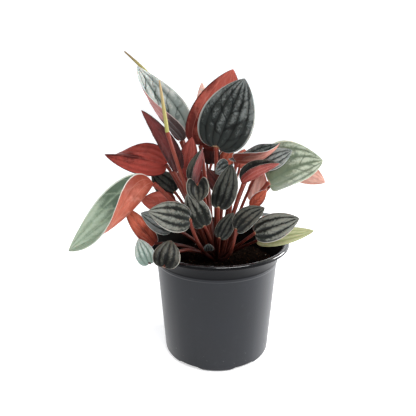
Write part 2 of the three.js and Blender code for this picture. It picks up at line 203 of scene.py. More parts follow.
POT_HEIGHT = 87 * MM
RIM_RADIUS = 52.5 * MM
FOOT_RADIUS = 39.5 * MM
FOOT_EDGE = 2 * MM
SHOULDER_HEIGHT = 73 * MM
SHOULDER_RADIUS = 44.2 * MM
COLLAR_FLARE = 1.45
COLLAR_STEPS = 12
WALL = 1.2 * MM
FLOOR = 1.6 * MM
LIP = 2.8 * MM
LIP_GLOSS = 0.7 * MM
EDGE_RADIUS = 0.9 * MM
BEAD = 0.5 * MM  # how far the raised line stands out, then half its height in front and at the wall
BEAD_FRONT = 0.4 * MM
BEAD_FOOT = 1 * MM
POT_SEGMENTS = 144
SHARP_EDGE = math.radians(35)
GRIT_HEIGHTS = (6 * MM, 26 * MM)  # the specks of grit thin out between these
DRAINS = 6
DRAIN_WIDTH = 20 * MM
DRAIN_HEIGHT = 3 * MM
DRAIN_REACH = FOOT_RADIUS + 1 * MM
DRAIN_DEPTH = 8 * MM
DRAIN_SHAPE = ((-1, -1), (1, -1), (1, 0.55), (0.7, 1), (-0.7, 1), (-1, 0.55))
FIRST_DRAIN = math.radians(29)


def pot_plastic(name, dark, light, shine):
    """Black plastic with a satin mould texture, faint flow lines round it, a little dust, specks
    of grit above the foot and a gloss on top of the lip."""
    fixed = {"Specular IOR Level": shine, "Coat Roughness": 0.08, "Coat IOR": 1.75}
    fixed |= {"Sheen Weight": 0.1, "Sheen Roughness": 0.3}
    material, tree, place, surface = new_material(name, fixed)
    x, y, z = tree.parts(place)
    grain = tree.noise(place, 0.7 * MM, 4.0)
    cloud = tree.noise(place, 24 * MM)
    flow = tree.noise(tree.node("ShaderNodeCombineXYZ", {0: x * 0.05, 1: y * 0.05, 2: z}), 2 * MM)
    dust = tree.ease(tree.noise(place, 6 * MM, 6.0, 0.7), 0.58, 0.8)
    specks = tree.ease(tree.noise(place, 1.6 * MM, 2.0), 0.72, 0.76)
    tone = tree.mix(cloud, paint(dark), paint(light))
    tone = tree.mix(dust * 0.3, tone, paint("#3c3e42"))
    tone = tree.mix(specks * tree.ease(z, *GRIT_HEIGHTS, 0.7, 0.0), tone, paint("#8d8d88"))
    connect(surface, base_color=tone, roughness=0.3 + 0.1 * cloud + 0.12 * dust)
    connect(surface, coat_weight=z > POT_HEIGHT - LIP_GLOSS)
    relieve(tree, surface, grain + 0.8 * flow, 0.1 * MM, 0.25)
    return material


def dusty_shaded_plastic():
    """The inner wall: the same plastic, dulled by dried potting mix and darkened as painted shade
    inside the pot.
    """
    fixed = {"Specular IOR Level": 0.06}
    material, tree, place, surface = new_material("dusty_shaded_inner_wall", fixed)
    smear = tree.noise(place, 7 * MM, 5.0, 0.65)
    # painted shade: near-black inside the pot, with brown smears of dried mix
    tone = tree.mix(tree.ease(smear, 0.4, 0.7), paint("#050505"), paint("#15110e"))
    connect(surface, base_color=tone, roughness=0.7 + 0.3 * smear)
    return material


def collar_radius(height):
    """The collar widens faster and faster from the shoulder to the lip."""
    share = (height - SHOULDER_HEIGHT) / (POT_HEIGHT - SHOULDER_HEIGHT)
    return SHOULDER_RADIUS + (RIM_RADIUS - LIP / 2 - SHOULDER_RADIUS) * share**COLLAR_FLARE


def rounded(before, corner, after, radius, steps=5):
    """Points that round a corner of an outline, between its neighbours on either side."""
    before, corner, after = Vector(before), Vector(corner), Vector(after)
    start = corner + (before - corner).normalized() * min(radius, 0.5 * (before - corner).length)
    end = corner + (after - corner).normalized() * min(radius, 0.5 * (after - corner).length)
    shares = [i / steps for i in range(steps + 1)]
    return [start * (1 - t) ** 2 + corner * 2 * t * (1 - t) + end * t**2 for t in shares]


def turned_mesh(name, outline, segments):
    """A closed mesh turned about +Z from [radius, height] points that start and end on the axis."""
    rings = []
    vertices = []
    for radius, height in outline:
        ring = []
        for k in range(1 if radius == 0 else segments):
            angle = 2 * math.pi * k / segments
            ring.append(len(vertices))
            vertices.append((radius * math.cos(angle), radius * math.sin(angle), height))
        rings.append(ring)
    faces = []
    for low, high in zip(rings, rings[1:]):
        for k in range(segments):
            corners = [low[k % len(low)], low[(k + 1) % len(low)]]
            corners += [high[(k + 1) % len(high)], high[k % len(high)]]
            faces.append(list(dict.fromkeys(corners)))
    mesh = bpy.data.meshes.new(name)
    mesh.from_pydata(vertices, [], faces)
    return mesh


def pot_outline():
    """The pot's section, from the middle of its underside round the lip to the middle inside."""
    rise = POT_HEIGHT - LIP - SHOULDER_HEIGHT
    flare = [SHOULDER_HEIGHT + rise * i / COLLAR_STEPS for i in range(COLLAR_STEPS + 1)]
    corners = [
        (FOOT_RADIUS - FOOT_EDGE, 0),
        (FOOT_RADIUS, FOOT_EDGE),
        (SHOULDER_RADIUS, SHOULDER_HEIGHT - BEAD_FOOT),
        (SHOULDER_RADIUS + BEAD, SHOULDER_HEIGHT - BEAD_FRONT),
        (SHOULDER_RADIUS + BEAD, SHOULDER_HEIGHT + BEAD_FRONT),
        *[(collar_radius(z), z) for z in flare[2:]],
        (RIM_RADIUS, POT_HEIGHT - LIP),
        (RIM_RADIUS, POT_HEIGHT),
        (RIM_RADIUS - LIP, POT_HEIGHT),
        *[(collar_radius(z) - WALL, z) for z in reversed(flare)],
        (FOOT_RADIUS - WALL, FLOOR),
    ]
    neighbours = [(0, 0), *corners, (0, FLOOR)]
    outline = [(0, 0)]
    for before, corner, after in zip(neighbours, corners, neighbours[2:]):
        radius = LIP / 2 if corner[1] == POT_HEIGHT else EDGE_RADIUS
        outline += [tuple(p) for p in rounded(before, corner, after, radius)]
    outline.append((0, FLOOR))
    # where two rounded corners meet, they share a point
    return list(dict.fromkeys((round(radius, 7), round(height, 7)) for radius, height in outline))


def drain_cutters():
    """Blocks with rounded upper corners, which reach in under the wall. Their shape is in shares of
    half the slot's width and of its height."""
    corners = len(DRAIN_SHAPE)
    vertices = []
    faces = []
    for i in range(DRAINS):
        turn = FIRST_DRAIN - math.pi / 2 + 2 * math.pi * i / DRAINS
        out = Vector((math.cos(turn), math.sin(turn), 0))
        side = Vector((-out.y, out.x, 0))
        first = len(vertices)
        for reach in (DRAIN_REACH - DRAIN_DEPTH, DRAIN_REACH):
            for across, height in DRAIN_SHAPE:
                up = Vector((0, 0, height * DRAIN_HEIGHT))
                vertices.append(out * reach + side * (across * DRAIN_WIDTH / 2) + up)
        inner = [first + k for k in range(corners)]
        outer = [first + corners + k for k in range(corners)]
        faces += [inner[::-1], outer]
        for k in range(corners):
            after = (k + 1) % corners
            faces.append([inner[k], inner[after], outer[after], outer[k]])
    mesh = bpy.data.meshes.new("drain_cutters")
    mesh.from_pydata(vertices, [], faces)
    return new_object("drain_cutters", mesh)


def pot_mesh():
    body = new_object("pot", turned_mesh("pot", pot_outline(), POT_SEGMENTS))
    cutters = drain_cutters()
    cut = body.modifiers.new("drains", "BOOLEAN")
    cut.object = cutters
    cut.solver = "EXACT"
    mesh = evaluated_mesh(body)
    bpy.data.objects.remove(cutters)
    mesh.materials.clear()
    mesh.materials.append(pot_plastic("pot_wall", "#0d1015", "#151922", 0.33))
    # The collar and the lip get darker, less shiny copies of the wall's plastic: painted shade
    # under the lip and down the collar.
    mesh.materials.append(pot_plastic("pot_collar_painted_shade", "#08090c", "#0d0e13", 0.1))
    mesh.materials.append(dusty_shaded_plastic())
    mesh.materials.append(pot_plastic("pot_lip_painted_shade", "#050507", "#08080a", 0.08))
    wall, collar, inside, lip = range(4)
    for face in mesh.polygons:
        x, y, z = face.center
        inward = face.normal.x * x + face.normal.y * y < 0
        if FLOOR < z < POT_HEIGHT - LIP and inward:
            face.material_index = inside
        elif z > POT_HEIGHT - LIP:
            face.material_index = lip
        elif z > SHOULDER_HEIGHT + BEAD_FOOT:
            face.material_index = collar
        else:
            face.material_index = wall
    mesh.shade_smooth()
    mesh.set_sharp_from_angle(angle=SHARP_EDGE)
    return mesh


add_piece("nursery_pot", pot_mesh(), "pot", "pot")


# ---------------------------------------------------------------- soil
# Damp, near-black potting mix that fills the pot to a little below the collar. Its top is lumpy,
# highest round the crown, and is made of crumbs, bits of bark and a few pale grains.
SOIL_LEVEL = 70 * MM
SOIL_GAP = 0.35 * MM
SOIL_EDGE = 4 * MM
SOIL_TOP_DEPTH = 1 * MM  # what is higher than this below the level is the top
SOIL_FOOT_EDGE = 0.6 * MM
SOIL_RINGS = 30
SOIL_SEGMENTS = 96
SOIL_SEED = 4


def geometry_tree(name, inputs):
    """A geometry tree whose named inputs are given as their socket kinds."""
    group = bpy.data.node_groups.new(name, "GeometryNodeTree")
    group.interface.new_socket("Geometry", in_out="OUTPUT", socket_type="NodeSocketGeometry")
    group.interface.new_socket("Geometry", in_out="INPUT", socket_type="NodeSocketGeometry")
    for label, kind in inputs.items():
        group.interface.new_socket(label, in_out="INPUT", socket_type="NodeSocket" + kind)
    tree = Tree(group)
    entry = tree.node("NodeGroupInput").socket.node
    given = {socket.name: Term(tree, socket) for socket in entry.outputs if socket.name}
    return tree, given


def with_material(tree, geometry, material):
    return tree.node("GeometryNodeSetMaterial", {0: geometry, "Material": material})


def join_geometry(tree, parts):
    whole = tree.node("GeometryNodeJoinGeometry").socket.node
    for part in parts:
        tree.link(part, whole.inputs[0])
    return Term(tree, whole.outputs[0])


def finish_tree(tree, geometry, material=None):
    """Ends a geometry tree in Realize Instances and, with a material given, Set Material."""
    solid = tree.node("GeometryNodeRealizeInstances", {0: geometry})
    if material is not None:
        solid = with_material(tree, solid, material)
    tree.node("NodeGroupOutput", {0: solid})
    return tree.group


def run_tree(name, group, mesh=None, **values):
    """The plain mesh that a geometry tree makes from those values of its named inputs."""
    obj = new_object(name, mesh or bpy.data.meshes.new(name))
    modifier = obj.modifiers.new("build", "NODES")
    modifier.node_group = group
    labels = {label.replace("_", " ").capitalize(): value for label, value in values.items()}
    for item in group.interface.items_tree:
        if item.in_out == "INPUT" and item.name in labels:
            modifier[item.identifier] = labels[item.name]
    return evaluated_mesh(obj)


def earth(name, dark, light, roughness):
    """A dull, grainy stuff between two colours."""
    material, tree, place, surface = new_material(name, {"Specular IOR Level": 0.0})
    grain = tree.noise(place, 0.8 * MM, 5.0, 0.65)
    clods = tree.noise(place, 5 * MM)
    tone = tree.mix(tree.ease(grain * 0.6 + clods * 0.4, 0.35, 0.72), paint(dark), paint(light))
    connect(surface, base_color=tone, roughness=roughness - 0.25 * tree.ease(clods, 0.55, 0.7))
    relieve(tree, surface, grain, 0.3 * MM, 0.7)
    return material


def upward(tree):
    """Whether a face looks up."""
    return tree.parts(tree.node("GeometryNodeInputNormal"))[2] > 0.5


def scatter(tree, ground, shape, density, size, spread, seed):
    """Copies of a lump on what looks up, so many to the square metre, turned at random, and from
    the share spread of a size up to that size."""
    spots = tree.node(
        "GeometryNodeDistributePointsOnFaces",
        {"Mesh": ground, "Density": density, "Seed": seed, "Selection": upward(tree)},
    )
    turns = {0: (0, 0, 0), 1: (math.tau, math.tau, math.tau), "Seed": seed}
    turn = tree.node("FunctionNodeRandomValue", turns, data_type="FLOAT_VECTOR")
    growth = {2: spread * size, 3: size, "Seed": seed + 1}
    scale = tree.node("FunctionNodeRandomValue", growth, output=1, data_type="FLOAT")
    return tree.node(
        "GeometryNodeInstanceOnPoints",
        {"Points": spots, "Instance": shape, "Rotation": turn, "Scale": scale},
    )


def lump(tree, subdivisions, stretch):
    """A pebble-like lump about 1 across, stretched along X."""
    ball = tree.node("GeometryNodeMeshIcoSphere", {"Radius": 0.5, "Subdivisions": subdivisions})
    place = tree.node("GeometryNodeInputPosition")
    dents = tree.node("ShaderNodeTexNoise", {"Vector": place, "Scale": 1.6}, output=1)
    x, y, z = tree.parts(place + (dents - 0.5) * 0.9)
    longer = tree.node("ShaderNodeCombineXYZ", {0: x * stretch, 1: y, 2: z * 0.7})
    return tree.node("GeometryNodeSetPosition", {0: ball, "Position": longer})


def soil_tree():
    """Roughens the top of the soil's body and strews it with crumbs, bark and pale grains."""
    tree, given = geometry_tree("potting soil", {"Level": "Float", "Radius": "Float"})
    place = tree.node("GeometryNodeInputPosition")
    x, y, z = tree.parts(place)
    wave_x, wave_y = x / MM, y / MM
    lumps = (0.55 * wave_x + 1.3).math("SINE") * (0.47 * wave_y + 0.4).math("SINE")
    lumps += 0.6 * (0.9 * wave_x - 0.8 * wave_y).math("SINE")
    fall = (x * x + y * y) / (given["Radius"] * given["Radius"])
    clods = tree.noise(place, 7 * MM, 5.0, 0.6) - 0.5
    rise = MM * (0.9 * lumps - 1.5 * fall + 2.4 * clods)
    up = tree.node("ShaderNodeCombineXYZ", {2: rise * (z > given["Level"] - SOIL_TOP_DEPTH)})
    body = tree.node("GeometryNodeSetPosition", {0: given["Geometry"], "Offset": up})
    crumb, chip, grain = lump(tree, 1, 1.2), lump(tree, 1, 3.2), lump(tree, 2, 1.0)
    crumbs = scatter(tree, body, crumb, 300000.0, 2.1 * MM, spread=0.3, seed=SOIL_SEED)
    chips = scatter(tree, body, chip, 16000.0, 1.5 * MM, spread=0.5, seed=SOIL_SEED + 2)
    grains = scatter(tree, body, grain, 2600.0, 1.8 * MM, spread=0.5, seed=SOIL_SEED + 4)
    mix = join_geometry(tree, (body, crumbs))
    layers = [
        with_material(tree, mix, earth("damp_mix", "#0b0908", "#251c16", 0.92)),
        with_material(tree, chips, earth("pine_bark", "#1a110b", "#4a3524", 0.85)),
        with_material(tree, grains, earth("perlite", "#8d8a80", "#d5d2c8", 0.9)),
    ]
    return finish_tree(tree, join_geometry(tree, layers))


def soil_radius(height):
    """The soil stands clear of the tapered wall's inside."""
    wall = FOOT_RADIUS + (SHOULDER_RADIUS - FOOT_RADIUS) * height / SHOULDER_HEIGHT
    return wall - WALL - SOIL_GAP


def soil_mesh():
    foot = FLOOR + SOIL_GAP + SOIL_FOOT_EDGE
    edge = soil_radius(SOIL_LEVEL - SOIL_EDGE)
    top = [(edge * (SOIL_RINGS - i) / SOIL_RINGS, SOIL_LEVEL) for i in range(SOIL_RINGS + 1)]
    outline = [
        (0, foot), (soil_radius(foot) - SOIL_FOOT_EDGE, foot), (edge, SOIL_LEVEL - SOIL_EDGE), *top
    ]
    body = turned_mesh("soil", outline, SOIL_SEGMENTS)
    mesh = run_tree("soil", soil_tree(), body, level=SOIL_LEVEL, radius=SHOULDER_RADIUS)
    mesh.shade_flat()
    return mesh


add_piece("potting_soil", soil_mesh(), "soil", "soil")


# ---------------------------------------------------------------- leaves
# Heart-shaped, fleshy blades with a drawn-out tip. The upper side stands up in ribs between sunken
# veins and is dark green or silver; the underside is smooth and red. Each grows from its stalk.
def leaf(number, base, tip, face, width, top, under, arch=0.5, fold=(5, 5), fold_tip=None,
         curl=(0, 0), sway=0, lobe=0.06, via=None):
    """One blade: base and tip in mm from the origin, face the way its upper side looks, width its
    greatest width when flat, and top and under the names of its colours. Its arch, and the fold,
    fold_tip and curl of its left and right halves, are in degrees. sway bends it sideways in mm,
    lobe is a share of its length, and via is a point that its stalk passes by."""
    return {
        "name": f"leaf_{number:02d}", "base": base, "tip": tip, "face": face, "width": width,
        "top": top, "under": under, "arch": arch, "fold": fold, "fold_tip": fold_tip or fold,
        "curl": curl, "sway": sway, "lobe": lobe, "via": via,
    }


LEAVES = [
    leaf(1, (-1, -6, 155), (18, 2, 200), (0, -1, 0.2), 38, "dark", "red",
         arch=15, fold=(5, 5), curl=(-20, -20)),
    leaf(2, (-12, 10, 154), (11, 16, 206), (0, 1, 0), 37, "dark", "scarlet",
         arch=15, fold=(5, 5), curl=(-20, -20), sway=-2),
    leaf(3, (-26.5, 23, 155), (-56, 18, 208), (0.8, -0.4, 0.45), 44, "silver", "rose",
         arch=-45, fold=(58, 42), fold_tip=(12, 42), curl=(20, 20)),
    leaf(4, (-30, -14, 140), (-49, -20, 181), (0.9, 0.2, 0.45), 30, "dark", "maroon",
         arch=-5, fold=(42, 42), curl=(10, 10)),
    leaf(5, (-36, 0, 142), (-75, -16, 152), (-0.4, 0.9, 0), 24, "dark", "ruby",
         arch=5, fold=(-30, 5), fold_tip=(130, 5), sway=-1.6),
    leaf(6, (-42, -25, 134), (-92, -55, 99), (-0.5, -0.15, 0.85), 43, "green", "coral",
         arch=-38, fold=(88, 65), fold_tip=(-15, 60)),
    leaf(7, (-43, -24, 92), (-63, -20, 117), (-0.3, 0.9, -0.3), 13, "silver", "rust",
         fold=(15, 15)),
    leaf(8, (-45, -40, 84), (-52, -36, 100), (0, -0.9, 0.4), 13, "frost", "coral",
         arch=10, fold=(10, 10), via=(-34, -28, 104)),
    leaf(9, (-34, -54, 88), (-30, -44, 102), (0.1, -0.8, 0.6), 18, "black", "red",
         arch=30, curl=(-30, -30), via=(-26, -38, 102)),
    leaf(10, (-18, -42, 115), (-43, -50, 123), (0.4, -0.8, 0.4), 20, "grey", "red",
         arch=20, curl=(-30, -30), via=(-13, -32, 88)),
    leaf(11, (-31, -26, 104), (-50, -34, 117), (0.3, -0.9, 0.3), 15, "dark", "red", arch=10),
    leaf(12, (-30, -12, 116), (-52, -18, 121), (-0.3, 0.9, 0.1), 17, "dark", "scarlet",
         arch=10, fold=(10, 10)),
    leaf(13, (-9, -34, 108), (-20, -29, 129), (0, -1, 0.2), 17, "grey", "red",
         arch=20, curl=(-40, -40)),
    leaf(14, (-13, -42, 137), (-12, -47, 128), (0, -0.9, 0.5), 15, "black", "red",
         arch=10, fold=(20, 20), lobe=0.55, via=(-10, -16, 138)),
    leaf(15, (-14, -26, 134), (-10, -22, 157), (-0.9, -0.3, 0.25), 20, "black", "maroon",
         arch=-30, fold=(50, 50)),
    leaf(16, (0, -42, 123), (8, -38, 150), (-0.1, -1, 0.2), 16, "jet", "red",
         arch=-20, curl=(-30, -30), sway=1),
    leaf(17, (7, -20, 146), (-2, -25, 141), (0.3, -0.9, 0.4), 12, "dark", "maroon",
         fold=(20, 20), via=(14, -14, 120)),
    leaf(18, (4, -18, 126), (-7, -12, 141), (0, 0.9, 0.3), 13, "black", "umber", fold=(10, 10)),
    leaf(19, (1, -37, 101), (10, -33, 117), (0, -1, 0.3), 12, "jet", "red",
         arch=10, curl=(-40, -40)),
    leaf(20, (11, -46, 110), (29, -42, 123), (0, -0.9, 0.35), 14, "black", "red",
         arch=10, curl=(-40, -40), sway=-2, via=(9, -40, 84)),
    leaf(21, (24, -36, 104), (51, -42, 116), (-0.2, -0.9, 0.4), 19, "grey", "red",
         arch=15, curl=(-40, -40), via=(13, -19, 88)),
    leaf(22, (27, -26, 95), (65, -26, 102), (0, -0.9, 0.4), 12, "pale", "coral",
         arch=10, via=(14, -13, 84)),
    leaf(23, (36, -4, 130), (75, 4, 144), (0.05, -0.95, 0.35), 44, "sage", "coral",
         arch=15, fold=(0, -40), fold_tip=(0, -28), curl=(-10, -50), sway=-3, lobe=0.02),
    leaf(24, (54, 14, 139), (82, 20, 124), (-0.2, 1, 0), 18, "silver", "pink",
         arch=10, fold=(10, 10)),
    leaf(25, (13, -8, 145), (42, -7, 158), (-0.25, -0.15, 0.95), 26, "ash", "clay",
         arch=-75, fold=(-10, 62), fold_tip=(85, 30), lobe=0.2),
    leaf(26, (17, -17, 132), (41, -17, 146), (-0.4, -0.1, 0.9), 24, "black", "brick",
         arch=-10, fold=(54, 54)),
    leaf(27, (27, 4, 114), (33, 8, 136), (0.1, 1, 0), 14, "silver", "lit_pink"),
    leaf(28, (5, 18, 137), (11, 24, 150), (0, 1, 0.3), 13, "silver", "rust"),
    leaf(29, (-10, 24, 163), (-11, 30, 197), (0, 1, 0), 11, "silver", "lit_pink"),
    leaf(30, (-21, -16, 143), (-17, -14, 163), (0, 1, 0), 12, "black", "brick"),
    leaf(31, (-6, -25, 87), (-6, -29, 94), (0, -1, 0), 7, "dark", "coral", via=(-5, -14, 84)),
    leaf(32, (-31, 8, 120), (-48, 14, 134), (0, -0.9, 0.3), 18, "jet", "red"),
    leaf(33, (31, -2, 142), (52, 0, 152), (0, -1, 0.2), 14, "ash", "red", arch=10),
    leaf(34, (17, 18, 136), (21, 24, 149), (0, 1, 0.3), 13, "silver", "coral"),
    # the middle of the plant, seen between the stalks
    leaf(44, (-4, 13, 140), (-5, 14, 158), (0, 1, 0), 13, "black", "umber", via=(-12, 10, 115)),
    leaf(45, (-17, 5, 115), (-27, 6, 144), (0, 1, 0.1), 12, "black", "red"),
    leaf(46, (24, -9, 114), (34, -9, 126), (0.2, 0.9, 0.1), 9, "black", "rust"),
    # the back of the plant, behind the leaves that the front shows
    leaf(35, (4, 32, 153), (10, 46, 188), (0, 0.9, 0.3), 26, "dark", "red",
         arch=15, fold=(10, 10), curl=(-20, -20)),
    leaf(36, (-27, 34, 156), (-44, 46, 184), (0, 0.8, 0.5), 16, "dark", "red",
         arch=10, fold=(15, 15)),
    leaf(37, (-36, 26, 140), (-66, 42, 138), (-0.2, 0.5, 0.8), 17, "silver", "red",
         arch=20, fold=(10, 10)),
    leaf(38, (-22, 26, 100), (-42, 44, 104), (-0.3, 0.7, 0.6), 17, "dark", "red",
         arch=20, fold=(10, 10)),
    leaf(39, (-11, 26, 106), (-15, 42, 132), (0, 0.9, 0.5), 15, "dark", "red",
         arch=15, fold=(10, 10)),
    leaf(40, (5, 30, 104), (7, 44, 122), (0, 0.8, 0.6), 14, "dark", "red", arch=15, fold=(10, 10)),
    leaf(41, (26, 26, 131), (43, 42, 141), (0.2, 0.7, 0.6), 15, "dark", "red",
         arch=15, fold=(10, 10)),
    leaf(42, (46, 30, 127), (73, 46, 137), (0.2, 0.8, 0.5), 24, "silver", "red",
         arch=15, fold=(10, 10)),
    leaf(43, (26, 22, 95), (52, 40, 91), (0.3, 0.4, 0.9), 17, "dark", "red",
         arch=20, fold=(10, 10)),
]
BLADE_THICKNESS = 0.8 * MM
RIB_HEIGHT = {2: 0.9 * MM, 3: 0.65 * MM}  # by the number of ribs on each side
RIB_FULL_WIDTH = 24 * MM
RIBBED_WIDTH = 22 * MM  # blades at least this wide have three ribs on each side, others two
MESH_STEP = 0.6 * MM
LEAST_ROWS = 8
LEAST_COLUMNS = 9
LEAST_TURN = 1e-4  # a flat half is still divided by its turn
WELD = 5e-7
OUTLINE_SCALE = 2.43  # these two make each outline's greatest value 1
LOBE_SCALE = 5.35
VEIN_WANDER = 9 * MM  # the size of the bends in the side veins
MAP_ABOVE = 0.25  # where the midrib lies across the blade's map, seen from above and from below
MAP_BELOW = 0.75
MAP_HALF = 0.24
MAP_START = 0.01
MAP_LENGTH = 0.98


def half_outline(t):
    """Half the blade's width at a share t of its length, as a share of its widest half."""
    return OUTLINE_SCALE * t.math("SQRT") * (1 - t) ** 0.85


def lobe_outline(t, s):
    """How far the heart-shaped base reaches back beside the stalk, as a share of its furthest."""
    return LOBE_SCALE * t.math("SQRT") * (1 - t) ** 5 * abs(s) ** 1.5


def ridges(ribs, s):
    """1 on top of the ribs and 0 in the main veins, across the blade from s -1 to 1."""
    return abs((s * (ribs * math.pi)).math("SINE"))


def side_veins(tree, t, s, wobble):
    """1 in the thin veins that branch off the midrib towards the tip, and 0 between them. About
    four leave it on each side, by turns."""
    phase = 4.2 * t - 1.9 * abs(s) + 0.5 * (s > 0) + 1.3 * wobble
    vein = tree.ease(abs(phase.math("FRACT") - 0.5), 0.0, 0.15, 1.0, 0.0)
    inside = tree.ease(t, 0.1, 0.22) * tree.ease(t, 0.8, 0.93, 1.0, 0.0)
    return vein * inside * tree.ease(abs(s), 0.3, 0.8, 1.0, 0.5)


def side_value(s, left, right):
    """left on the blade's left half and right on its right half."""
    return left + (right - left) * (s > 0)


def arched_midrib(given, t):
    """The midrib, an arc: its place, the way it runs and the way that its upper side looks."""
    arch = given["Arch"]
    length = given["Length"]
    start = arch * 0.5
    angle = arch * (0.5 - t)
    sine, cosine = angle.math("SINE"), angle.math("COSINE")
    tangent = given["Along"] * cosine + given["Up"] * sine
    normal = given["Up"] * cosine - given["Along"] * sine
    place = given["Base"] + given["Along"] * (length * (start.math("SINE") - sine) / arch)
    place += given["Up"] * (length * (cosine - start.math("COSINE")) / arch)
    return place, tangent, normal


def blade_surface(given, t, s):
    """The surface in the middle of the blade's thickness, t along it and s across it. Each half
    turns up from the midrib by its fold and rolls by its curl."""
    midrib, tangent, normal = arched_midrib(given, t)
    reach = abs(s) * half_outline(t)
    root_fold = side_value(s, given["Fold left"], given["Fold right"])
    tip_fold = side_value(s, given["Fold tip left"], given["Fold tip right"])
    turn = side_value(s, given["Curl left"], given["Curl right"]) * reach * 0.5
    bent = abs(turn).math("MAXIMUM", LEAST_TURN)
    across = given["Width"] * 0.5 * reach * bent.math("SINE") / bent
    tilt = root_fold + (tip_fold - root_fold) * t + turn
    sideways = s.math("SIGN") * across * tilt.math("COSINE") + 4 * given["Sway"] * t * (1 - t)
    ribs = given["Rib height"] * half_outline(t) * ridges(given["Ribs"], s)
    surface = midrib + given["Right"] * sideways
    surface += normal * (across * tilt.math("SINE") + ribs)
    surface += tangent * (-given["Lobe"] * given["Length"] * lobe_outline(t, s))
    return surface


def blade_tree():
    """A closed blade from its stalk's end to its tip, which arches, folds and curls as told."""
    tree, given = geometry_tree(
        "leaf blade",
        {
            "Base": "Vector", "Along": "Vector", "Up": "Vector", "Right": "Vector",
            "Length": "Float", "Arch": "Float", "Width": "Float", "Thickness": "Float",
            "Fold left": "Float", "Fold right": "Float",
            "Fold tip left": "Float", "Fold tip right": "Float",
            "Curl left": "Float", "Curl right": "Float", "Sway": "Float", "Lobe": "Float",
            "Ribs": "Float", "Rib height": "Float", "Rows": "Int", "Columns": "Int",
            "Skin": "Material",
        },
    )
    counts = {"Vertices X": given["Rows"], "Vertices Y": given["Columns"]}
    grid = tree.node("GeometryNodeMeshGrid", {"Size X": 1.0, "Size Y": 1.0, **counts})
    row, column, _ = tree.parts(Term(tree, grid.socket.node.outputs["UV Map"]))
    across = column * 2 - 1
    # the mesh is closest at the base and along the margins
    t = row**1.7
    s = across * (1.25 - 0.25 * across**4)
    sheet = tree.node("GeometryNodeSetPosition", {0: grid, "Position": blade_surface(given, t, s)})

    # fine relief: sunken side veins and a puckered skin, fading out at the base and the tip
    place = tree.node("GeometryNodeInputPosition")
    wobble = tree.noise(place, VEIN_WANDER) - 0.5
    pucker = tree.noise(place, 2.6 * MM, 2.0) - 0.5
    ends = (1 - (2 * t - 1) ** 6).math("MAXIMUM", 0.0).math("SQRT")
    relief = MM * ends * (0.3 * pucker - 0.18 * side_veins(tree, t, s, wobble))
    margin = (1 - s**4).math("MAXIMUM", 0.0).math("SQRT")
    facing = -tree.node("GeometryNodeInputNormal")
    sides = []
    for direction, map_middle in ((1, MAP_ABOVE), (-1, MAP_BELOW)):
        offset = facing * (relief + direction * 0.5 * given["Thickness"] * margin * ends)
        side = tree.node("GeometryNodeSetPosition", {0: sheet, "Offset": offset})
        if direction > 0:
            side = tree.node("GeometryNodeFlipFaces", {0: side})
        map_place = {0: map_middle + MAP_HALF * s, 1: MAP_START + MAP_LENGTH * t}
        stored = {0: side, "Name": "blade", "Value": tree.node("ShaderNodeCombineXYZ", map_place)}
        sides.append(
            tree.node(
                "GeometryNodeStoreNamedAttribute", stored, data_type="FLOAT2", domain="CORNER"
            )
        )
    both = join_geometry(tree, sides)
    closed = tree.node("GeometryNodeMergeByDistance", {0: both, "Distance": WELD})
    smooth = tree.node("GeometryNodeSetShadeSmooth", {0: closed})
    return finish_tree(tree, smooth, given["Skin"])


TOPS = {  # main veins, flesh, rib crests, margin, mottling, and how much paler it gets to the tip
    "jet": ("#030403", "#0f110f", "#464741", "#8b8a80", 1.1, 0.6),
    "black": ("#040504", "#131412", "#504f47", "#99988d", 1.1, 0.6),
    "dark": ("#060807", "#272b29", "#6b6f6d", "#a4a8a2", 1.15, 0.6),
    "grey": ("#0a0c0a", "#1d201c", "#7f8077", "#b5b3aa", 1.1, 0.6),
    "ash": ("#191d1b", "#4a4f4c", "#8b908c", "#c5c8c4", 1.1, 0.5),
    "silver": ("#39423e", "#8c938e", "#c6cac5", "#b2b7b0", 0.9, 0.5),
    "sage": ("#56614f", "#606a55", "#aab29e", "#c3cbb5", 0.9, 0.8),
    "green": ("#93a48c", "#526450", "#a5b49e", "#e2e9de", 0.5, 1.3),
    "frost": ("#55695e", "#7c8e85", "#b3bfb8", "#e2ebeb", 1.0, 0.5),
    "pale": ("#8b9564", "#979d6f", "#afb38a", "#a4a87d", 0.8, 0.5),
}
UNDERS = {  # deep, light, vein, margin, darkening to the margins, and lightening to the tip
    "red": ("#4a1614", "#82332d", "#974d45", "#32161b", 0.25, 0.2),
    # The next tone grows lighter towards its margins: painted light for the lit upper half of its
    # folded blade.
    "ruby": ("#4c1714", "#ab483e", "#a8564b", "#32161b", -0.15, -0.45),
    "brick": ("#632420", "#8f4138", "#a85d52", "#401f1c", 0.25, 0.2),
    "scarlet": ("#5f221b", "#b25a4d", "#cf8577", "#4a211e", 0.2, 0.45),
    "rust": ("#7a3222", "#bd6048", "#c98470", "#c6cfcc", 0.25, 0.2),
    "clay": ("#84473d", "#b87d70", "#cf9f93", "#d8cfca", 0.25, 0.2),
    "coral": ("#8f402f", "#c46f5b", "#cf9280", "#d6d3ca", 0.2, 0.3),
    "maroon": ("#37100f", "#6c2a28", "#7f4340", "#2a1216", 0.2, 0.2),
    "umber": ("#2b100f", "#582a26", "#6a413b", "#1f1213", 0.2, 0.2),
    "rose": ("#310e0b", "#b3716b", "#5f2a26", "#c9b4b0", 0.2, 1.3),
    "pink": ("#ad7868", "#cb9f90", "#d6b4a8", "#d8c4ba", 0.25, 0.2),
    # The next tone is a paler copy of pink: painted light for thin undersides that glow with light
    # passing through them.
    "lit_pink": ("#cf9786", "#eec6b8", "#f2d6ca", "#e4b4a2", 0.25, 0.2),
}
RIB_TONE = {2: 0.8, 3: 0.5}  # how much lighter the ribs are, by their number on each side
BRANCH_TONE = {2: 0.35, 3: 0.8}  # how dark the side veins are
VEIN_SHARPNESS = 2.4


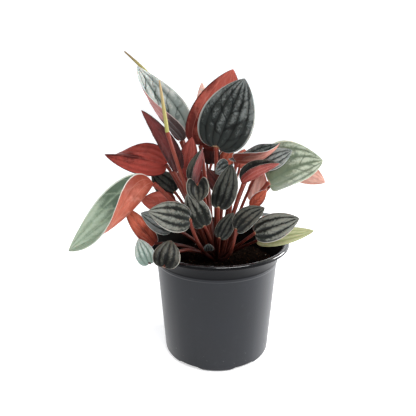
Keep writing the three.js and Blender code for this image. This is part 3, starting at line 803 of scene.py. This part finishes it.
def leaf_marks(tree, place, ribs):
    """What the colours of both sides follow: the place on the blade, ribs, veins and noise."""
    u, v, _ = tree.parts(tree.node("ShaderNodeUVMap", uv_map="blade"))
    below = u > 0.5
    s = (u - MAP_ABOVE - (MAP_BELOW - MAP_ABOVE) * below) / MAP_HALF
    t = (v - MAP_START) / MAP_LENGTH
    return SimpleNamespace(
        below=below,
        s=s,
        t=t,
        ridge=ridges(ribs, s),
        inner=tree.ease(abs(s), 0.84, 0.96, 1.0, 0.0),
        branches=side_veins(tree, t, s, tree.noise(place, VEIN_WANDER) - 0.5),
        cloud=tree.noise(place, 14 * MM),
        patch=tree.noise(place, 5 * MM, 4.0, 0.6),
        speckle=tree.noise(place, 1.3 * MM, 4.0, 0.7),
    )


def upper_tone(tree, marks, top, ribs):
    """Dark veins, lighter speckled ribs and a pale margin, with a buff spot over the stalk."""
    vein, flesh, crest, rim = (paint(code) for code in TOPS[top][:4])
    mottling, fade = TOPS[top][4:]
    mottle = 1.2 * (marks.cloud - 0.5) + 1.3 * (marks.patch - 0.5) + 1.4 * (marks.speckle - 0.5)
    mottle = mottling * mottle + fade * (tree.ease(marks.t, 0.1, 0.7) - 0.6)
    tone = tree.mix(tree.ease(RIB_TONE[ribs] * marks.ridge**1.5 + mottle, 0.15, 1.05), flesh, crest)
    valley = (1 - marks.ridge) ** VEIN_SHARPNESS * marks.inner
    valley *= tree.ease(marks.patch + 0.4 * (1 - abs(marks.s)), 0.5, 0.72, 0.5, 1.0)
    dark = (valley + BRANCH_TONE[ribs] * marks.branches).math("MINIMUM", 1.0)
    tone = tree.mix(dark, tone, vein)
    tone = tree.mix(tree.ease(abs(marks.s), 0.9, 0.97) * 0.9, tone, rim)
    root = tree.ease(marks.t + 0.03 * abs(marks.s), 0.012, 0.035, 1.0, 0.0)
    return tree.mix(root, tone, paint("#a98a6a"))


def under_tone(tree, marks, under):
    """Uneven red, darker or lighter to the margins and the tip, with fine veins and painted shade
    along the midrib.
    """
    deep, light, line, rim = (paint(code) for code in UNDERS[under][:4])
    edge, fade = UNDERS[under][4:]
    blush = marks.cloud * 0.7 + marks.patch * 0.35 + 0.25 * marks.speckle
    blush -= edge * tree.ease(abs(marks.s), 0.3, 1.0)
    blush += fade * (tree.ease(marks.t, 0.0, 0.6) - 0.6)
    # painted shade: darker along the midrib, where the blade folds
    blush -= 0.16 * tree.ease(abs(marks.s), 0.02, 0.16, 1.0, 0.0)
    tone = tree.mix(tree.ease(blush, 0.38, 0.76), deep, light)
    tone = tree.mix(tree.ease(marks.ridge, 0.0, 0.2, 1.0, 0.0) * marks.inner * 0.3, tone, line)
    tone = tree.mix(marks.branches * 0.3, tone, line)
    return tree.mix(tree.ease(abs(marks.s), 0.92, 0.98) * 0.9, tone, rim)


def leaf_skin(top, under, ribs):
    """Waxy skin with a fine net of cells, in the colours of those names above and below."""
    name = f"leaf_{top}_{under}_{ribs}"
    if name in bpy.data.materials:
        return bpy.data.materials[name]
    fixed = {"Specular IOR Level": 0.18, "Subsurface Weight": 0.15}
    fixed |= {"Subsurface Radius": (1.0, 0.35, 0.2), "Subsurface Scale": 1.2 * MM}
    material, tree, place, surface = new_material(name, fixed)
    marks = leaf_marks(tree, place, ribs)
    tone = tree.mix(marks.below, upper_tone(tree, marks, top, ribs), under_tone(tree, marks, under))
    connect(surface, base_color=tone, roughness=0.36 + 0.12 * marks.below - 0.1 * marks.speckle)
    cells = {"Vector": place, "Scale": 1 / (1.3 * MM)}
    net = tree.node("ShaderNodeTexVoronoi", cells, feature="DISTANCE_TO_EDGE")
    relieve(tree, surface, tree.ease(net, 0.0, 0.12) * 0.5 + marks.speckle, 0.12 * MM, 0.35)
    return material


def leaf_mesh(group, spec):
    """One blade, from the direction of its midrib and the way it faces."""
    base, tip, face = (Vector(spec[key]) for key in ("base", "tip", "face"))
    along = (tip - base).normalized()
    up = (face - along * face.dot(along)).normalized()
    arch = math.radians(spec["arch"])
    length = (tip - base).length * MM * arch / 2 / math.sin(arch / 2)
    width = spec["width"] * MM
    ribs = 3 if width >= RIBBED_WIDTH else 2
    fold = [math.radians(angle) for angle in spec["fold"]]
    fold_tip = [math.radians(angle) for angle in spec["fold_tip"]]
    curl = [math.radians(angle) for angle in spec["curl"]]
    return run_tree(
        spec["name"], group,
        base=base * MM, along=along, up=up, right=along.cross(up),
        length=length, arch=arch, width=width, thickness=BLADE_THICKNESS,
        fold_left=fold[0], fold_right=fold[1],
        fold_tip_left=fold_tip[0], fold_tip_right=fold_tip[1],
        curl_left=curl[0], curl_right=curl[1], sway=spec["sway"] * MM, lobe=spec["lobe"],
        ribs=float(ribs), rib_height=RIB_HEIGHT[ribs] * min(1, width / RIB_FULL_WIDTH),
        rows=LEAST_ROWS + int(length / MESH_STEP),
        columns=LEAST_COLUMNS + 2 * int(0.5 * width / MESH_STEP),
        skin=leaf_skin(spec["top"], spec["under"], ribs),
    )


blade = blade_tree()
for spec in LEAVES:
    blade_name = spec["name"].replace("leaf", "blade")
    add_piece(blade_name, leaf_mesh(blade, spec), "leaf", spec["name"])


# ---------------------------------------------------------------- crown and stalks
# The short stem that stands in the soil, and every leaf and flower stalk that grows from it. The
# stalks are round, fleshy and red, thickest where they leave the crown, and bow up and outwards.
CROWN_RADIUS = 7 * MM
CROWN_FOOT = 52 * MM
CROWN_TOP = 75 * MM
STALK_ROOT = 1.9 * MM
STALK_END = 1.2 * MM
STALK_DEPTH = 3 * MM
LEAF_BOW = 0.15
SPIKE_BOW = 12 * MM
SPIKE_STALK = 0.95
WIDE_BLADE = 24
SPIKES = [
    {"name": "flower_spike_1", "base": (-32, -28, 168), "tip": (-36, -28, 199),
     "via": (-22, -26, 132), "low": "#9b9850", "high": "#a78d68"},
    {"name": "flower_spike_2", "base": (-48, 28, 201), "tip": (-66, 28, 218),
     "via": (-16, 34, 150), "low": "#a8a560", "high": "#7d6440"},
]


def bow_curve(tree, given, resolution):
    """A curve from Start to End that leans out to Middle."""
    points = {label: given[label] for label in ("Start", "Middle", "End")}
    return tree.node("GeometryNodeCurveQuadraticBezier", {"Resolution": resolution, **points})


def capped_tube(tree, curve, radius, sides):
    ring = tree.node("GeometryNodeCurvePrimitiveCircle", {"Resolution": sides, "Radius": 1.0})
    sockets = {0: curve, 1: ring, "Scale": radius, "Fill Caps": True}
    return tree.node("GeometryNodeCurveToMesh", sockets)


def stalk_tree():
    """A tapered, slightly uneven stalk along a bow from the crown to the blade."""
    tree, given = geometry_tree(
        "stalk",
        {"Start": "Vector", "Middle": "Vector", "End": "Vector", "Root": "Float", "Tip": "Float",
         "Skin": "Material"},
    )
    along = tree.node("GeometryNodeSplineParameter")
    uneven = tree.noise(tree.node("GeometryNodeInputPosition"), 8 * MM) - 0.5
    flare = 1 + 0.35 * tree.ease(along, 0.0, 0.1, 1.0, 0.0) + 0.22 * uneven
    flare += 0.25 * tree.ease(along, 0.94, 1.0)
    radius = (given["Root"] + (given["Tip"] - given["Root"]) * along) * flare
    stalk = capped_tube(tree, bow_curve(tree, given, 40), radius, 14)
    smooth = tree.node("GeometryNodeSetShadeSmooth", {0: stalk})
    return finish_tree(tree, smooth, given["Skin"])


def stalk_skin():
    """Translucent red skin with lighter and darker streaks, darkened towards the crown as painted
    shade under the leaves.
    """
    fixed = {"Specular IOR Level": 0.2, "Subsurface Weight": 0.25}
    fixed |= {"Subsurface Radius": (1.0, 0.3, 0.2), "Subsurface Scale": 1.5 * MM}
    material, tree, place, surface = new_material("red_stalk_skin", fixed)
    x, y, z = tree.parts(place)
    drawn = tree.node("ShaderNodeCombineXYZ", {0: x, 1: y, 2: z * 0.2})
    streaks = tree.noise(drawn, 1.2 * MM, 4.0, 0.6)
    cloud = tree.noise(place, 16 * MM)
    blush = tree.ease(streaks * 0.5 + cloud * 0.5, 0.35, 0.68)
    tone = tree.mix(blush, paint("#702a20"), paint("#a85543"))
    tone = tree.mix(tree.ease(streaks + cloud, 0.8, 1.15) * 0.5, tone, paint("#4a1d18"))
    # painted shade: near-black low down, towards the crown under the leaves
    tone = tree.mix(tree.ease(z, 68 * MM, 132 * MM, 1.0, 0.0) * 0.9, tone, paint("#1f0d09"))
    connect(surface, base_color=tone, roughness=0.38 + 0.15 * streaks)
    relieve(tree, surface, streaks, 0.1 * MM, 0.3)
    return material


def stalk_start(end):
    """Where a stalk leaves the crown: on the side that its end is on."""
    out = Vector((end.x, end.y, 0))
    start = out.normalized() * min(CROWN_RADIUS - STALK_ROOT, 0.22 * out.length)
    start.z = CROWN_TOP - STALK_DEPTH
    return start


def stalk_mesh(group, end, scale, bow, via, skin):
    """A stalk that bows up by bow on its way to its end, or that passes by via."""
    start = stalk_start(end)
    middle = Vector(via) * MM if via else (start + end) / 2 + Vector((0, 0, bow))
    return run_tree(
        "stalk", group, start=start, middle=middle, end=end,
        root=STALK_ROOT * scale, tip=STALK_END * scale, skin=skin,
    )


def joined_mesh(name, meshes):
    """Several meshes of one material as one."""
    vertices = []
    faces = []
    for mesh in meshes:
        first = len(vertices)
        vertices += [tuple(v.co) for v in mesh.vertices]
        faces += [[first + i for i in p.vertices] for p in mesh.polygons]
    whole = bpy.data.meshes.new(name)
    whole.from_pydata(vertices, [], faces)
    whole.materials.append(meshes[0].materials[0])
    whole.shade_smooth()
    return whole


def crown_mesh(skin):
    """The short stem, drawn in at its foot and at its top."""
    outline = [
        (0, CROWN_FOOT),
        (0.5 * CROWN_RADIUS, CROWN_FOOT),
        (CROWN_RADIUS, CROWN_FOOT + 8 * MM),
        (CROWN_RADIUS, CROWN_TOP - 7 * MM),
        (0.8 * CROWN_RADIUS, CROWN_TOP - 3 * MM),
        (0.4 * CROWN_RADIUS, CROWN_TOP),
        (0, CROWN_TOP),
    ]
    mesh = turned_mesh("crown", outline, 32)
    mesh.materials.append(skin)
    return mesh


def red_stalks_mesh():
    """The crown with a stalk to each blade, thicker for a wide one, and to each flower spike."""
    group = stalk_tree()
    skin = stalk_skin()
    meshes = [crown_mesh(skin)]
    for spec in LEAVES:
        end = Vector(spec["base"]) * MM
        bow = LEAF_BOW * (end - Vector((0, 0, CROWN_TOP))).length
        scale = 0.5 + 0.4 * min(1.6, spec["width"] / WIDE_BLADE)
        meshes.append(stalk_mesh(group, end, scale, bow, spec["via"], skin))
    for spec in SPIKES:
        end = Vector(spec["base"]) * MM
        meshes.append(stalk_mesh(group, end, SPIKE_STALK, SPIKE_BOW, spec["via"], skin))
    return joined_mesh("red_stalks", meshes)


add_piece("red_stalks", red_stalks_mesh(), "stalk", "crown_and_stalks")


# ---------------------------------------------------------------- flower spikes
# Slim, upright spikes, set all round with hundreds of tiny bead-like flowers without petals, pale
# yellow-green and browner at the tip. Each stands at the end of its red stalk.
SPIKE_RADIUS = 1.6 * MM
SPIKE_LIFT = 1 * MM
BEADS = 260
BEAD_RADIUS = 0.42 * MM
BEAD_TURN = math.radians(137.5)  # from one bead to the next, round the spike
BEAD_SEAT = 0.78  # how far out the beads' middles are, and how thick the core is, as shares
CORE_SHARE = 0.8


def spike_tree():
    """A tapered core with beads round it in rows that wind up the spike."""
    tree, given = geometry_tree(
        "flower spike",
        {"Start": "Vector", "Middle": "Vector", "End": "Vector", "Radius": "Float", "Beads": "Int",
         "Skin": "Material"},
    )
    bow = bow_curve(tree, given, 48)
    along = tree.node("GeometryNodeSplineParameter")
    taper = given["Radius"] * (1 - 0.6 * along * along)
    core = capped_tube(tree, bow, taper * CORE_SHARE, 16)
    beads = tree.node("GeometryNodeResampleCurve", {0: bow, "Count": given["Beads"]})
    tangent = tree.node("GeometryNodeInputTangent")
    level = tree.node("ShaderNodeCombineXYZ", {1: 1.0})
    side = tangent.math("CROSS_PRODUCT", level).math("NORMALIZE")
    turn = tree.node("GeometryNodeInputIndex") * BEAD_TURN
    out = side * turn.math("COSINE") + tangent.math("CROSS_PRODUCT", side) * turn.math("SINE")
    points = tree.node("GeometryNodeCurveToPoints", {0: beads}, mode="EVALUATED")
    placed = tree.node("GeometryNodeSetPosition", {0: points, "Offset": out * taper * BEAD_SEAT})
    ball = tree.node("GeometryNodeMeshIcoSphere", {"Radius": BEAD_RADIUS, "Subdivisions": 2})
    copies = tree.node("GeometryNodeInstanceOnPoints", {"Points": placed, "Instance": ball})
    whole = tree.node("GeometryNodeRealizeInstances", {0: join_geometry(tree, (core, copies))})
    smooth = tree.node("GeometryNodeSetShadeSmooth", {0: whole})
    return finish_tree(tree, smooth, given["Skin"])


def spike_skin(name, low, high, low_colour, high_colour):
    """Pale, matt flowers between two heights, with a darker speck on each."""
    material, tree, place, surface = new_material(name)
    height = tree.parts(place)[2]
    speck = tree.noise(place, 0.5 * MM, 3.0)
    tone = tree.mix(tree.ease(height, low, high), paint(low_colour), paint(high_colour))
    tone = tree.mix(tree.ease(speck, 0.52, 0.7) * 0.5, tone, paint("#8a7c4e"))
    connect(surface, base_color=tone, roughness=0.5 + 0.2 * speck)
    return material


spike = spike_tree()
for spec in SPIKES:
    start, end = Vector(spec["base"]) * MM, Vector(spec["tip"]) * MM
    middle = (start + end) / 2 + Vector((0, 0, SPIKE_LIFT))
    skin = spike_skin(spec["name"] + "_skin", start.z, end.z, spec["low"], spec["high"])
    mesh = run_tree(
        spec["name"], spike, start=start, middle=middle, end=end,
        radius=SPIKE_RADIUS, beads=BEADS, skin=skin,
    )
    add_piece(spec["name"].replace("flower", "beaded"), mesh, "spike", spec["name"])


# ---------------------------------------------------------------- floor, light and camera
# A plain white studio: a pale floor, a bright surround, a large soft lamp above in front at the
# right, a small low one at the right, a strip that draws the line along the lip, and a camera a
# little above the leaves.
FLOOR_HALF = 3
LAMP_AIM = Vector((0, 0, 0.1))


def studio_floor():
    mesh = bpy.data.meshes.new("floor")
    signs = ((-1, -1), (1, -1), (1, 1), (-1, 1))
    corners = [(x * FLOOR_HALF, y * FLOOR_HALF, 0) for x, y in signs]
    mesh.from_pydata(corners, [], [[0, 1, 2, 3]])
    fixed = {"Roughness": 0.6, "Emission Color": (1, 1, 1, 1), "Emission Strength": 0.56}
    material, tree, place, surface = new_material("pale_floor", fixed)
    tone = tree.mix(tree.noise(place, 0.3), paint("#f2f2f3"), paint("#f6f6f7"))
    connect(surface, base_color=tone)
    mesh.materials.append(material)
    floor = new_object("floor", mesh)


def soft_lamp(name, place, width, depth, power):
    data = bpy.data.lights.new(name, "AREA")
    data.shape = "RECTANGLE"
    data.size = width
    data.size_y = depth
    data.energy = power
    lamp = new_object(name, data)
    lamp.location = place
    lamp.rotation_mode = "QUATERNION"
    lamp.rotation_quaternion = (LAMP_AIM - Vector(place)).to_track_quat("-Z", "Y")


def bright_surround():
    """A white surround, brightest behind the plant and dimmest above it."""
    world = bpy.data.worlds.new("studio")
    world.use_nodes = True
    world.node_tree.nodes.clear()
    tree = Tree(world.node_tree)
    _, y, z = tree.parts(tree.node("ShaderNodeTexCoord"))
    strength = tree.ease(y, -0.4, 0.6, 0.5, 1.25) * tree.ease(z, 0.2, 0.8, 1.0, 0.35)
    light = tree.node("ShaderNodeBackground", {"Color": (0.94, 0.97, 1, 1), "Strength": strength})
    tree.node("ShaderNodeOutputWorld", {"Surface": light})
    return world


studio_floor()
soft_lamp("key", (0.35, -0.7, 0.95), 0.9, 0.3, 9)
soft_lamp("rim", (0.6, 0.15, 0.16), 0.3, 0.3, 6)
soft_lamp("strip", (0, -0.55, 0.9), 1.8, 0.06, 1.2)
bpy.context.scene.world = bright_surround()
bpy.context.scene.view_settings.view_transform = "Standard"

camera = new_object("camera", bpy.data.cameras.new("camera"))
camera.location = (-6.55 * MM, -313 * MM, 204 * MM)
camera.rotation_euler = (math.radians(73.3), 0, 0)
camera.data.lens = 39.2
camera.data.sensor_width = 36
camera.data.clip_start = 0.01
bpy.context.scene.camera = camera
